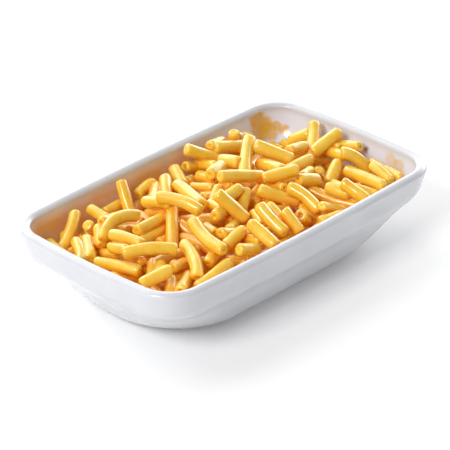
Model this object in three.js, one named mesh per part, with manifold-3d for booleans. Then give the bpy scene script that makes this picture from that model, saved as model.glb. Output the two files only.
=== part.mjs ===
// Macaroni and cheese in its white porcelain dish.
// Millimetres, +Z up. X runs along the dish and Y across it. The origin is on the table,
// under the middle of the dish.
import * as THREE from "three";
import { mergeVertices } from "three/addons/utils/BufferGeometryUtils.js";
import Module from "manifold-3d";

const wasm = await Module();
wasm.setup();

// ---- Driving dimensions ------------------------------------------------------------------

const DISH_LENGTH = 190;
const DISH_WIDTH = 111.5;
const DISH_HEIGHT = 38;
const CORNER_RADIUS = 17; // of the rim, seen from above
const INNER_CORNER_RADIUS = 12.5; // of the rim's inner edge
const FOOT_RADIUS = 38; // of the foot's corners
const SIDE_BOW = 2.2; // how far the middle of a long side stands out
const END_BOW = 2.8;
const BOW_FADE = 50; // both insets added up, where the bow has died away
const RIM_WIDTH = 5.6;
const RIM_ROUNDING = 2.4;
const FLOOR_LEVEL = 5; // of the inside

const NOODLE_RADIUS = { least: 2.75, most: 3.1 };
const NOODLE_SIDES = 6;
const BORE_RADIUS = 0.95;
const BORE_DEPTH = 1.6;
const NOODLE_LENGTH = { least: 17, most: 27 };
const NOODLE_BEND = { least: 0.1, most: 0.75 }; // radians from one end to the other
const ROLL_RANGE = 2.2; // how the bend may lean, in radians
const NOODLE_COUNT = 104;
const PLACES_TRIED = 60; // for each noodle
const SEED = 41;

const HEAP_EDGE = 26.5; // level of the macaroni along the wall
const HEAP_CROWN = 37; // and in the middle
const HEAP_SHAPE = 2.2; // power of the dome between them
const CORE_DEPTH = 4.6; // the core lies this far under the heap's surface
const CORE_LEVELS = [6.2, 8.6, 12, 17]; // of its rings along the wall, over its bottom ring
const CORE_SHARES = [0.85, 0.68, 0.5, 0.3]; // of its reach, where its top has rings
const CORE_SLACK = 0.25; // more room to the wall, for the straight stretches between rings
const FIT_GAP = 0.35; // between the heap and the dish

const TILT_STEPS = 7; // slopes tried each way, for a noodle that comes to rest
const STEEPEST_REST = 0.7;
const REST_SHARE = 0.82; // of two radii, between the middles of touching noodles
const CORE_SHARE = 0.5; // of a radius, from the core up to the middle of a noodle on it
const WALL_SHARE = 0.7; // of a radius, under a noodle's middle, where it's held off the wall
const WALL_TRIES = 12;
const WALL_SPARE = 0.05;

// ---- Small tools -------------------------------------------------------------------------

// Repeatable random numbers from 0 to 1 (mulberry32).
function randomSource(seed) {
  let state = seed >>> 0;
  return () => {
    state = (state + 0x6d2b79f5) >>> 0;
    let t = Math.imul(state ^ (state >>> 15), state | 1);
    t ^= t + Math.imul(t ^ (t >>> 7), t | 61);
    return ((t ^ (t >>> 14)) >>> 0) / 4294967296;
  };
}

const mix = (a, b, share) => a + (b - a) * share;

// A closed geometry as a manifold solid.
function solidFrom(geometry) {
  const bare = geometry.clone();
  bare.deleteAttribute("normal");
  bare.deleteAttribute("uv");
  const merged = mergeVertices(bare, 1e-4);
  return new wasm.Manifold(
    new wasm.Mesh({
      numProp: 3,
      vertProperties: merged.attributes.position.array,
      triVerts: new Uint32Array(merged.index.array),
    }),
  );
}

// A manifold solid as a three.js geometry.
function geometryFrom(solid) {
  const mesh = solid.getMesh();
  const geometry = new THREE.BufferGeometry();
  geometry.setAttribute("position", new THREE.BufferAttribute(mesh.vertProperties, 3));
  geometry.setIndex(new THREE.BufferAttribute(mesh.triVerts, 1));
  geometry.computeVertexNormals();
  return geometry;
}

// A closed skin over rings of equally many points, from the lowest ring of the outside to
// the last one, with a flat fan over the first and the last.
function loft(rings) {
  const count = rings[0].length;
  const positions = rings.flat(2);
  const index = [];
  for (let level = 0; level + 1 < rings.length; level += 1) {
    for (let i = 0; i < count; i += 1) {
      const next = (i + 1) % count;
      const a = level * count + i;
      const b = level * count + next;
      index.push(a, b, b + count, a, b + count, a + count);
    }
  }
  const capped = [
    [0, false],
    [rings.length - 1, true],
  ];
  for (const [level, isLast] of capped) {
    const centre = positions.length / 3;
    const middle = rings[level].reduce((sum, p) => sum + p[2] / count, 0);
    positions.push(0, 0, middle);
    for (let i = 0; i < count; i += 1) {
      const a = level * count + i;
      const b = level * count + ((i + 1) % count);
      index.push(...(isLast ? [a, b, centre] : [b, a, centre]));
    }
  }
  const geometry = new THREE.BufferGeometry();
  geometry.setAttribute("position", new THREE.Float32BufferAttribute(positions, 3));
  geometry.setIndex(index);
  return geometry;
}

// ---- The dish ----------------------------------------------------------------------------

// The dish's plan at one level: a rounded rectangle whose sides bow outwards. The insets are
// measured from the rim's outer edge, at the ends and at the long sides.
function dishRing({ z, end, side, radius }, cornerSteps = 7, sideSteps = 6) {
  const bowShare = Math.max(0, 1 - (end + side) / BOW_FADE);
  const sideBow = SIDE_BOW * bowShare;
  const endBow = END_BOW * bowShare;
  const halfX = DISH_LENGTH / 2 - end - endBow;
  const halfY = DISH_WIDTH / 2 - side - sideBow;
  const plain = [];
  for (let corner = 0; corner < 4; corner += 1) {
    const signX = corner === 0 || corner === 3 ? 1 : -1;
    const signY = corner < 2 ? 1 : -1;
    for (let step = 0; step <= cornerSteps; step += 1) {
      const angle = (Math.PI / 2) * (corner + step / cornerSteps);
      plain.push([
        signX * (halfX - radius) + radius * Math.cos(angle),
        signY * (halfY - radius) + radius * Math.sin(angle),
      ]);
    }
  }
  const points = [];
  const perCorner = cornerSteps + 1;
  plain.forEach((p, i) => {
    points.push(p);
    if (i % perCorner !== cornerSteps) return;
    const q = plain[(i + 1) % plain.length];
    for (let step = 1; step < sideSteps; step += 1) {
      points.push([mix(p[0], q[0], step / sideSteps), mix(p[1], q[1], step / sideSteps)]);
    }
  });
  return points.map(([x, y]) => [
    x + (endBow * Math.cos((Math.PI / 2) * (y / halfY)) * x) / halfX,
    y + (sideBow * Math.cos((Math.PI / 2) * (x / halfX)) * y) / halfY,
    z,
  ]);
}

// The outside from the foot up: a sloping lower body, the round shoulder where the band
// begins, and the band that leans out to the rim.
const OUTSIDE = [
  { z: 0, end: 24.6, side: 21.6, radius: FOOT_RADIUS },
  { z: 1.1, end: 22.5, side: 17.9, radius: FOOT_RADIUS },
  { z: 4, end: 19.4, side: 13.6, radius: 36 },
  { z: 11.5, end: 13.2, side: 9.9, radius: 28 },
  { z: 16.5, end: 9.6, side: 7.9, radius: 23 },
  { z: 19, end: 7.6, side: 6.5, radius: 21 },
  { z: 21.5, end: 5.2, side: 4.7, radius: 18.8 },
  { z: 23.5, end: 3.6, side: 3.3, radius: 17.6 },
  { z: 26.5, end: 2.2, side: 2, radius: CORNER_RADIUS },
  { z: 31, end: 1.2, side: 1.1, radius: CORNER_RADIUS },
  { z: 33.6, end: 0.55, side: 0.5, radius: CORNER_RADIUS },
];

// The inside from the rim down to the floor.
const INSIDE = [
  { z: 33, end: 6, side: 6, radius: INNER_CORNER_RADIUS },
  { z: 25.5, end: 8, side: 7.8, radius: 13 },
  { z: 20, end: 11.6, side: 10.4, radius: 15 },
  { z: 12, end: 18, side: 14.6, radius: 19 },
  { z: 7.6, end: 23.4, side: 19, radius: 23 },
  { z: 5.4, end: 29, side: 25, radius: 25 },
  { z: FLOOR_LEVEL, end: 36, side: 32, radius: 20 },
];

// The foot is a ring: its underside is hollowed a little inside it.
const UNDERSIDE = [
  { z: 1.2, end: 33.5, side: 30.5, radius: 23 },
  { z: 1.2, end: 31.5, side: 28.5, radius: 27 },
  { z: 0, end: 30.3, side: 27.3, radius: 30 },
];

// The rim is a half round, a little wider than it is high.
function rimStations(steps = 6) {
  const stations = [];
  for (let step = 0; step <= steps; step += 1) {
    const angle = (Math.PI * step) / steps;
    const inset = (RIM_WIDTH / 2) * (1 - Math.cos(angle));
    stations.push({
      z: DISH_HEIGHT - RIM_ROUNDING * (1 - Math.sin(angle)),
      end: inset,
      side: inset,
      radius: mix(CORNER_RADIUS, INNER_CORNER_RADIUS, step / steps),
    });
  }
  return stations;
}

function makeDish() {
  const stations = [...UNDERSIDE, ...OUTSIDE, ...rimStations(), ...INSIDE];
  return loft(stations.map((station) => dishRing(station)));
}

// ---- The macaroni ------------------------------------------------------------------------

// The inner wall at a height, between the stations above and below it.
function wallAt(z) {
  const stations = [...rimStations().slice(-1), ...INSIDE];
  let i = 0;
  while (i + 2 < stations.length && stations[i + 1].z > z) i += 1;
  const [above, below] = [stations[i], stations[i + 1]];
  const share = Math.min(Math.max((above.z - z) / (above.z - below.z), 0), 1);
  return {
    end: mix(above.end, below.end, share),
    side: mix(above.side, below.side, share),
    radius: mix(above.radius, below.radius, share),
  };
}

// How far a point lies outside the straight-sided plan of the inner wall at its height, and
// the direction back in. Negative is inside.
function pastTheWall(x, y, z) {
  const { end, side, radius } = wallAt(z);
  const cornerX = Math.abs(x) - (DISH_LENGTH / 2 - end - END_BOW - radius);
  const cornerY = Math.abs(y) - (DISH_WIDTH / 2 - side - SIDE_BOW - radius);
  const outX = Math.max(cornerX, 0);
  const outY = Math.max(cornerY, 0);
  const distance = Math.hypot(outX, outY) + Math.min(Math.max(cornerX, cornerY), 0) - radius;
  const length = Math.hypot(outX, outY) || 1;
  return { distance, inX: (-Math.sign(x) * outX) / length, inY: (-Math.sign(y) * outY) / length };
}

// The level of the heap's surface over a point of the table.
function heapLevel(x, y) {
  const dome = (share) => 1 - Math.min(Math.abs(share), 1) ** HEAP_SHAPE;
  const across = dome(y / (DISH_WIDTH / 2 - RIM_WIDTH));
  const along = dome(x / (DISH_LENGTH / 2 - RIM_WIDTH));
  return mix(HEAP_EDGE, HEAP_CROWN, across * along);
}

const coreLevel = (x, y) => heapLevel(x, y) - CORE_DEPTH;

// The core fills the dish up to a little under the noodles.
function makeCore() {
  const rings = [];
  const room = FIT_GAP + CORE_SLACK;
  for (const z of [FLOOR_LEVEL + FIT_GAP, ...CORE_LEVELS, HEAP_EDGE - CORE_DEPTH]) {
    const { end, side, radius } = wallAt(z - FIT_GAP);
    rings.push(dishRing({ z, end: end + room, side: side + room, radius }, 4, 5));
  }
  const brinkRing = rings.at(-1);
  for (const share of CORE_SHARES) {
    rings.push(brinkRing.map(([x, y]) => [x * share, y * share, coreLevel(x * share, y * share)]));
  }
  return loft(rings);
}

// A straight noodle standing on end: a turned blank, with a blind bore in each end where the
// ends can be seen.
function noodleBlank({ length, radius, endsShow }) {
  const half = length / 2;
  const body = [
    [radius, -half],
    [radius, 0],
    [radius, half],
  ];
  const lowerEnd = endsShow ? [[0, -half + BORE_DEPTH], [BORE_RADIUS, -half]] : [[0, -half]];
  const upperEnd = endsShow ? [[BORE_RADIUS, half], [0, half - BORE_DEPTH]] : [[0, half]];
  const profile = [...lowerEnd, ...body, ...upperEnd].map(([r, y]) => new THREE.Vector2(r, y));
  return new THREE.LatheGeometry(profile, NOODLE_SIDES);
}

// The shape of a noodle's centreline about its middle: a circular arc with its ends at
// -half and +half along the first axis, bowed towards the second.
function arcPoint(along, length, bend) {
  const arcRadius = length / bend;
  const angle = (along / length) * bend;
  return [arcRadius * Math.sin(angle), arcRadius * (Math.cos(angle) - Math.cos(bend / 2) / 2 - 0.5)];
}

// A noodle's frame: forward along it, and the side that it bows to, leaning by its roll.
function noodleFrame({ heading, slope, roll }) {
  const pitch = Math.atan(slope);
  const forward = new THREE.Vector3(
    Math.cos(heading) * Math.cos(pitch),
    Math.sin(heading) * Math.cos(pitch),
    Math.sin(pitch),
  );
  const level = new THREE.Vector3(-Math.sin(heading), Math.cos(heading), 0);
  const upright = new THREE.Vector3().crossVectors(forward, level);
  const bow = level.clone().multiplyScalar(Math.cos(roll)).addScaledVector(upright, Math.sin(roll));
  return { forward, bow, across: new THREE.Vector3().crossVectors(forward, bow) };
}

// Points down the middle of a noodle that lies at its place.
function centreline(noodle, count = 7) {
  const { forward, bow } = noodleFrame(noodle);
  return Array.from({ length: count }, (_, i) => {
    const along = noodle.length * (i / (count - 1) - 0.5);
    const [ahead, aside] = arcPoint(along, noodle.length, noodle.bend);
    return new THREE.Vector3(noodle.x, noodle.y, noodle.z)
      .addScaledVector(forward, ahead)
      .addScaledVector(bow, aside);
  });
}

// The solid of a noodle: the blank, curved along its arc and laid in place.
function noodleSolid(noodle) {
  const { forward, bow, across } = noodleFrame(noodle);
  const geometry = noodleBlank(noodle);
  const position = geometry.getAttribute("position");
  const point = new THREE.Vector3();
  for (let i = 0; i < position.count; i += 1) {
    const along = position.getY(i);
    const [ahead, aside] = arcPoint(along, noodle.length, noodle.bend);
    const angle = (along / noodle.length) * noodle.bend;
    const out = position.getX(i);
    point
      .set(noodle.x, noodle.y, noodle.z)
      .addScaledVector(forward, ahead + out * Math.sin(angle))
      .addScaledVector(bow, aside + out * Math.cos(angle))
      .addScaledVector(across, -position.getZ(i));
    position.setXYZ(i, point.x, point.y, point.z);
  }
  return solidFrom(geometry);
}

// Lets a noodle down until it rests, at the slope that puts its middle lowest. It sinks a
// little into what carries it, as soft macaroni does.
function settle(noodle, laid) {
  const level = centreline({ ...noodle, slope: 0, z: 0 });
  const reach = 2 * noodle.radius * REST_SHARE;
  const needs = level.map((p) => {
    let need = coreLevel(p.x, p.y) + noodle.radius * CORE_SHARE;
    for (const other of laid) {
      for (const q of other.points) {
        const apart = Math.hypot(p.x - q.x, p.y - q.y);
        if (apart < reach) need = Math.max(need, q.z + Math.sqrt(reach * reach - apart * apart));
      }
    }
    return need - p.z;
  });
  let best = null;
  for (let step = -TILT_STEPS; step <= TILT_STEPS; step += 1) {
    const slope = (STEEPEST_REST * step) / TILT_STEPS;
    const rise = (i) => slope * noodle.length * (i / (needs.length - 1) - 0.5);
    const z = Math.max(...needs.map((need, i) => need - rise(i)));
    if (!best || z < best.z) best = { slope, z };
  }
  return { ...noodle, ...best };
}

// Slides a noodle inwards until all of it is clear of the wall. Null if it can't be.
function clearOfTheWall(noodle) {
  const moved = { ...noodle };
  for (let attempt = 0; attempt < WALL_TRIES; attempt += 1) {
    let worst = { distance: -Infinity };
    for (const p of centreline(moved)) {
      const here = pastTheWall(p.x, p.y, p.z - moved.radius * WALL_SHARE);
      if (here.distance > worst.distance) worst = here;
    }
    const over = worst.distance + moved.radius + FIT_GAP;
    if (over <= 0) return moved;
    moved.x += worst.inX * (over + WALL_SPARE);
    moved.y += worst.inY * (over + WALL_SPARE);
  }
  return null;
}

// A noodle of random form, let down at a random place. Null if it doesn't fit there.
function tryNoodle(random, laid) {
  const between = ({ least, most }) => mix(least, most, random());
  const spanX = DISH_LENGTH - 2 * RIM_WIDTH - NOODLE_LENGTH.least;
  const spanY = DISH_WIDTH - 2 * RIM_WIDTH - NOODLE_LENGTH.least / 2;
  const x = spanX * (random() - 0.5);
  const y = spanY * (random() - 0.5);
  const blank = {
    x,
    y,
    z: heapLevel(x, y),
    slope: 0,
    heading: random() * 2 * Math.PI,
    roll: (random() - 0.5) * ROLL_RANGE,
    length: between(NOODLE_LENGTH),
    bend: between(NOODLE_BEND),
    radius: between(NOODLE_RADIUS),
  };
  const inside = clearOfTheWall(blank);
  const rested = inside && settle(inside, laid);
  const noodle = rested && clearOfTheWall(rested);
  if (!noodle) return null;
  const points = centreline(noodle);
  const rises = points.map((p) => p.z - heapLevel(p.x, p.y));
  return { ...noodle, points, rise: Math.max(...rises) };
}

// The noodles that show. Of a handful tried, the one that lies lowest in the heap is laid.
function layNoodles() {
  const random = randomSource(SEED);
  const laid = [];
  for (let i = 0; i < NOODLE_COUNT; i += 1) {
    const tried = Array.from({ length: PLACES_TRIED }, () => tryNoodle(random, laid));
    const fitting = tried.filter((noodle) => noodle !== null);
    const lowest = fitting.reduce((best, noodle) => (noodle.rise < best.rise ? noodle : best));
    laid.push({ ...lowest, endsShow: i >= NOODLE_COUNT / 2 });
  }
  return laid;
}

// The heap: core and noodles fused into one solid.
function makeMacaroni() {
  const pieces = [solidFrom(makeCore()), ...layNoodles().map(noodleSolid)];
  const fused = wasm.Manifold.union(pieces);
  const bodies = fused.decompose().sort((a, b) => b.volume() - a.volume());
  return geometryFrom(bodies[0]);
}

// ---- The object --------------------------------------------------------------------------

const porcelain = new THREE.MeshStandardMaterial({ color: 0xf4f4f6, roughness: 0.12, metalness: 0 });
const cheesePasta = new THREE.MeshStandardMaterial({ color: 0xf7b22c, roughness: 0.3, metalness: 0 });

function named(name, geometry, material) {
  const mesh = new THREE.Mesh(geometry, material);
  mesh.name = name;
  return mesh;
}

const macAndCheese = new THREE.Group();
macAndCheese.add(named("dish", makeDish(), porcelain));
macAndCheese.add(named("macaroni", makeMacaroni(), cheesePasta));

export default macAndCheese;
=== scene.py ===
"""Macaroni and cheese in its white porcelain dish. Metres, +Z up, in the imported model's frame."""

import math

import bpy
import numpy as np
from mathutils import Matrix, Vector


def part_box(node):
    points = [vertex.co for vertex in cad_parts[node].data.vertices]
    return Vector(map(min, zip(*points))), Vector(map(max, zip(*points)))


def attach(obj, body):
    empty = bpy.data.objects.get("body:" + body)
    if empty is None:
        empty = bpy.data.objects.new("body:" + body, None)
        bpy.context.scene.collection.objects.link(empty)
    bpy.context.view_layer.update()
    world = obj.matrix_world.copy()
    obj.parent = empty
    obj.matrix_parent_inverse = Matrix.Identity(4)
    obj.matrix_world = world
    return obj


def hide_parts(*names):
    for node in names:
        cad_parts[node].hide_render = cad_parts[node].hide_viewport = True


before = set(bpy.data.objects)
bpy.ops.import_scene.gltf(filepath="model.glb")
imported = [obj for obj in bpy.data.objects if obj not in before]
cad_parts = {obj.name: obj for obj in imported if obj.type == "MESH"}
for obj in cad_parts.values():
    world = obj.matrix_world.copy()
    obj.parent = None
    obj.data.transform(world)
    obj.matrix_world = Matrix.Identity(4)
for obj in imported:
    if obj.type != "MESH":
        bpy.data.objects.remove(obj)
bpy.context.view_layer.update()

MM = 0.001
_, DISH_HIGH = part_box("dish")
DISH_HALF_X = DISH_HIGH.x / MM
DISH_HALF_Y = DISH_HIGH.y / MM
DISH_HEIGHT = DISH_HIGH.z / MM


# ---- Camera ----

# Lengths are millimetres until they go into a mesh, an object or a material's nodes.
AIM = np.array([2.3, 3.4, 18.0])
AZIMUTH = math.radians(-46.8)
ELEVATION = math.radians(28.66)
DISTANCE = 1377.5
IMAGE_SIZE = 450
FOCAL_PIXELS = 2917.0
SENSOR = 36.0
CLIP_METRES = (0.05, 20.0)

BACK = np.array([
    math.sin(AZIMUTH) * math.cos(ELEVATION),
    -math.cos(AZIMUTH) * math.cos(ELEVATION),
    math.sin(ELEVATION),
])
RIGHT = np.array([math.cos(AZIMUTH), math.sin(AZIMUTH), 0.0])
UP = np.cross(BACK, RIGHT)
EYE = AIM + DISTANCE * BACK


def make_camera():
    data = bpy.data.cameras.new("camera")
    data.sensor_width = SENSOR
    data.lens = FOCAL_PIXELS / IMAGE_SIZE * SENSOR
    data.clip_start, data.clip_end = CLIP_METRES
    camera = bpy.data.objects.new("camera", data)
    bpy.context.scene.collection.objects.link(camera)
    turn = Matrix((RIGHT, UP, BACK)).transposed()
    camera.matrix_world = Matrix.Translation(Vector(EYE * MM)) @ turn.to_4x4()
    bpy.context.scene.camera = camera


def sight_line(u, v):
    """The direction from the eye through a pixel, one unit deep."""
    right = (u - IMAGE_SIZE / 2) / FOCAL_PIXELS
    up = (IMAGE_SIZE / 2 - v) / FOCAL_PIXELS
    return right * RIGHT + up * UP - BACK


make_camera()


# ---- Small tools ----

def new_object(name, vertices, faces, material, smooth=True):
    """A mesh object from points in millimetres."""
    mesh = bpy.data.meshes.new(name)
    mesh.from_pydata((np.asarray(vertices) * MM).tolist(), [], faces)
    mesh.materials.append(material)
    mesh.polygons.foreach_set("use_smooth", [smooth] * len(mesh.polygons))
    mesh.update()
    piece = bpy.data.objects.new(name, mesh)
    bpy.context.scene.collection.objects.link(piece)
    return piece


UNDER_RANGE = 9.0


def mark_depth(piece):
    """Keeps on each vertex how deep in the heap it lies: 0 at its surface, 1 at UNDER_RANGE."""
    points = np.array([vertex.co for vertex in piece.data.vertices]) / MM
    depth = (heap_level(points[:, 0], points[:, 1]) - points[:, 2]) / UNDER_RANGE
    attribute = piece.data.attributes.new("depth", "FLOAT", "POINT")
    attribute.data.foreach_set("value", np.clip(depth, 0, 1))


def apply_modifiers(piece):
    """Bakes the piece's modifiers into its mesh."""
    graph = bpy.context.evaluated_depsgraph_get()
    baked = bpy.data.meshes.new_from_object(piece.evaluated_get(graph))
    piece.modifiers.clear()
    piece.data = baked
    baked.polygons.foreach_set("use_smooth", [True] * len(baked.polygons))


def loft_faces(levels, around):
    """Quads between rings of equally many points, each ring after the last."""
    faces = []
    for level in range(levels - 1):
        for i in range(around):
            a = level * around + i
            b = level * around + (i + 1) % around
            faces.append((a, b, b + around, a + around))
    return faces


def closed_faces(levels, around, offset=0):
    """The same with both ends shut, for points that are numbered from offset."""
    faces = loft_faces(levels, around)
    faces.append(tuple(range(around - 1, -1, -1)))
    faces.append(tuple(range((levels - 1) * around, levels * around)))
    return [tuple(i + offset for i in face) for face in faces]


# ---- Materials ----

def srgb(red, green, blue):
    """A colour given as 0 to 255 display values, as the linear values that shaders take."""
    def linear(value):
        share = value / 255
        return share / 12.92 if share <= 0.04045 else ((share + 0.055) / 1.055) ** 2.4
    return (linear(red), linear(green), linear(blue), 1.0)


class Nodes:
    """A material's node tree, with short calls to add and link nodes."""

    def __init__(self, name):
        self.material = bpy.data.materials.new(name)
        self.material.use_nodes = True
        self.tree = self.material.node_tree
        self.shader = self.tree.nodes["Principled BSDF"]

    def add(self, kind, **settings):
        node = self.tree.nodes.new(kind)
        for key, value in settings.items():
            setattr(node, key, value)
        return node

    def link(self, source, target):
        self.tree.links.new(source, target)

    def feed(self, socket, value):
        """Links a socket to another node's output, or sets it to a plain value."""
        if isinstance(value, bpy.types.NodeSocket):
            self.link(value, socket)
        else:
            socket.default_value = value

    def shade(self, **values):
        """Feeds the shader's inputs by name."""
        for key, value in values.items():
            self.feed(self.shader.inputs[key.replace("_", " ")], value)

    def place(self):
        return self.add("ShaderNodeTexCoord").outputs["Object"]

    def attribute(self, name):
        """A number that the mesh keeps on each vertex."""
        return self.add("ShaderNodeAttribute", attribute_name=name).outputs["Fac"]

    def openness(self, distance):
        """1 on open surfaces, towards 0 where others are nearer than a distance in metres."""
        node = self.add("ShaderNodeAmbientOcclusion", samples=6)
        node.inputs["Distance"].default_value = distance
        return node.outputs["AO"]

    def noise(self, scale, detail=2.0):
        """Noise with blobs about 1/scale metres wide."""
        node = self.add("ShaderNodeTexNoise")
        node.inputs["Scale"].default_value = scale
        node.inputs["Detail"].default_value = detail
        self.link(self.place(), node.inputs["Vector"])
        return node.outputs["Fac"]

    def warped(self, scale, reach):
        """The place on the object, shaken by noise of a scale up to a reach in metres."""
        noise = self.add("ShaderNodeTexNoise")
        noise.inputs["Scale"].default_value = scale
        self.link(self.place(), noise.inputs["Vector"])
        shaken = self.add("ShaderNodeVectorMath", operation="MULTIPLY_ADD")
        self.link(noise.outputs["Color"], shaken.inputs[0])
        shaken.inputs[1].default_value = (2 * reach, 2 * reach, 2 * reach)
        centred = self.add("ShaderNodeVectorMath", operation="SUBTRACT")
        self.link(self.place(), centred.inputs[0])
        centred.inputs[1].default_value = (reach, reach, reach)
        self.link(centred.outputs["Vector"], shaken.inputs[2])
        return shaken.outputs["Vector"]

    def within(self, place, centre, reach, full=0.7):
        """1 near a centre, out to the full share of a reach, fading to 0 at the reach."""
        distance = self.add("ShaderNodeVectorMath", operation="DISTANCE")
        self.link(place, distance.inputs[0])
        distance.inputs[1].default_value = tuple(centre)
        return self.span(distance.outputs["Value"], reach * full, reach, 1.0, 0.0)

    def ramp(self, factor, *stops):
        """The colour at a factor between stops, each a position and a colour."""
        node = self.add("ShaderNodeValToRGB")
        elements = node.color_ramp.elements
        while len(elements) < len(stops):
            elements.new(0.5)
        for element, (position, colour) in zip(elements, stops):
            element.position = position
            element.color = colour
        self.link(factor, node.inputs["Fac"])
        return node.outputs["Color"]

    def span(self, value, low, high, to_low, to_high):
        """A value from between low and high, as one from between to_low and to_high."""
        node = self.add("ShaderNodeMapRange")
        keys = ("From Min", "From Max", "To Min", "To Max")
        for key, number in zip(keys, (low, high, to_low, to_high)):
            node.inputs[key].default_value = number
        self.link(value, node.inputs["Value"])
        return node.outputs["Result"]

    def maths(self, operation, first, second):
        node = self.add("ShaderNodeMath", operation=operation)
        self.feed(node.inputs[0], first)
        self.feed(node.inputs[1], second)
        return node.outputs["Value"]

    def mix(self, factor, first, second):
        node = self.add("ShaderNodeMix", data_type="RGBA")
        colours = [socket for socket in node.inputs if socket.type == "RGBA"]
        self.link(factor, node.inputs["Factor"])
        self.feed(colours[0], first)
        self.feed(colours[1], second)
        return next(socket for socket in node.outputs if socket.type == "RGBA")

    def bump(self, height, strength, distance):
        """Relief on the shader, with the distance in metres."""
        node = self.add("ShaderNodeBump")
        node.inputs["Strength"].default_value = strength
        node.inputs["Distance"].default_value = distance
        self.link(height, node.inputs["Height"])
        self.link(node.outputs["Normal"], self.shader.inputs["Normal"])


GLAZE_WHITE = srgb(213, 214, 219)
GLAZE_THIN = srgb(208, 209, 214)
# Painted light: the glaze inside the dish is made lighter and bluer.
GLAZE_PAINTED_LIGHT_INSIDE = srgb(226, 229, 239)
BISQUE = srgb(222, 217, 208)
BISQUE_DARK = srgb(207, 201, 191)
# A real film of sauce, tinted also with painted warm bounce light from the food.
SAUCE_FILM_AND_BOUNCE = srgb(230, 163, 48)
SAUCE_SMEAR = srgb(224, 172, 34)
# Painted shadow of a noodle on the inner wall.
PAINTED_SHADOW_BROWN = srgb(150, 84, 30)

BARE_FOOT = (0.4, 1.1)  # levels between which bare clay passes into glaze
PAINTED_LIGHT_LEVELS = (36.6, 32.5)  # levels between which painted light makes the glaze inside lighter
FILM_LEVELS = (37.4, 30.5)  # levels between which the film of sauce, with painted warm bounce light from the food, grows thicker
FILM_ENDS = (15.0, 50.0)  # along the dish, where the film begins to thin out and where it ends

# Smears of sauce on the inner wall, and patches of painted light and shade: pixel of the middle,
# reach in millimetres, strength, colour.
SMEARS = (
    ((257, 119), 5.5, 0.75, SAUCE_SMEAR),
    ((261, 126), 7.5, 0.8, SAUCE_SMEAR),
    ((268, 131), 6.0, 0.8, SAUCE_SMEAR),
    ((278, 126), 3.2, 0.7, SAUCE_SMEAR),
    ((283, 129), 3.4, 0.8, SAUCE_SMEAR),
    ((328, 127), 3.6, 0.2, SAUCE_SMEAR),
    # The next two are pale patches, partly sauce and partly painted reflection of the food on the
    # glaze.
    ((388, 160), 5.0, 0.4, SAUCE_SMEAR),
    ((396, 167), 5.0, 0.45, SAUCE_SMEAR),
    # Painted shadow of a noodle on the wall, as a brown patch.
    ((364, 150), 3.6, 0.85, PAINTED_SHADOW_BROWN),
)


def make_porcelain():
    """White clay under a slightly clouded glaze, bare under the foot and made lighter inside by
    painted light, with a film of sauce on the inner wall near the food that also carries painted
    warm bounce light from the food, and smears of it, among them patches of painted reflection and a
    painted shadow."""
    nodes = Nodes("porcelain")
    glazed = nodes.ramp(nodes.noise(38.0, detail=3.0), (0.35, GLAZE_WHITE), (0.7, GLAZE_THIN))
    bare = nodes.ramp(nodes.noise(1400.0), (0.3, BISQUE), (0.75, BISQUE_DARK))
    inside = nodes.attribute("inside")
    place = nodes.add("ShaderNodeSeparateXYZ")
    nodes.link(nodes.place(), place.inputs["Vector"])

    def passing(axis, places, at_first, at_last):
        """A value that changes between two places along an axis."""
        first, last = places
        return nodes.span(place.outputs[axis], first * MM, last * MM, at_first, at_last)

    foot = passing("Z", BARE_FOOT, 1.0, 0.0)
    # Painted light: below the rim, the inside passes into the lighter, bluer glaze.
    painted_light_inside = nodes.maths("MULTIPLY", inside, passing("Z", PAINTED_LIGHT_LEVELS, 0.0, 1.0))
    clay = nodes.mix(painted_light_inside, nodes.mix(foot, glazed, bare), GLAZE_PAINTED_LIGHT_INSIDE)

    # A film of sauce near the food that also stands in for painted warm bounce light from the food
    # on the inner wall.
    near_food = nodes.maths("MULTIPLY", inside, passing("Z", FILM_LEVELS, 0.0, 1.0))
    patchy = nodes.span(nodes.noise(60.0, detail=4.0), 0.35, 0.65, 0.6, 1.0)
    off_the_end = nodes.maths("MULTIPLY", passing("X", FILM_ENDS, 1.0, 0.0), patchy)
    sauce_film_and_bounce = nodes.maths("MULTIPLY", near_food, off_the_end)
    colour = nodes.mix(sauce_film_and_bounce, clay, SAUCE_FILM_AND_BOUNCE)
    ragged = nodes.warped(scale=180.0, reach=2.2 * MM)
    # Smears of sauce, with the painted reflection and painted shadow patches among them.
    for pixel, reach, strength, tint in SMEARS:
        near = nodes.within(ragged, wall_point(*pixel) * MM, reach * MM)
        smear = nodes.maths("MULTIPLY", nodes.maths("MULTIPLY", near, inside), strength)
        colour = nodes.mix(smear, colour, tint)

    glossy = nodes.span(nodes.noise(90.0, detail=4.0), 0.3, 0.7, 0.17, 0.25)
    not_glaze = nodes.maths("MAXIMUM", foot, nodes.maths("MULTIPLY", sauce_film_and_bounce, 0.6))
    roughness = nodes.maths("ADD", glossy, nodes.maths("MULTIPLY", not_glaze, 0.45))
    nodes.shade(Base_Color=colour, Roughness=roughness)
    nodes.bump(nodes.noise(55.0, detail=1.0), 0.08, 0.0006)
    nodes.shade(IOR=1.5, Coat_Weight=0.3, Coat_Roughness=0.12, Subsurface_Weight=0.12)
    nodes.shade(Subsurface_Radius=(0.004, 0.004, 0.0045), Subsurface_Scale=1.0)
    return nodes.material


# Colours of thicker sauce darkened by painted shade, down in the heap and where noodles touch; they
# also tint the painted glow.
NOODLE_SHADE_DARK = srgb(212, 108, 24)
NOODLE_SHADE_LOW = srgb(234, 152, 32)
NOODLE_DEEP = srgb(241, 190, 48)
NOODLE_MID = srgb(244, 202, 64)
NOODLE_PALE = srgb(247, 212, 88)
SHADE_REACH = 7.0  # how near another surface has to be for painted shade to darken a noodle's colour
PAINTED_GLOW = 0.11  # painted light: a glow of noodles and sauce in their gaps, for the light that comes through the noodles


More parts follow.
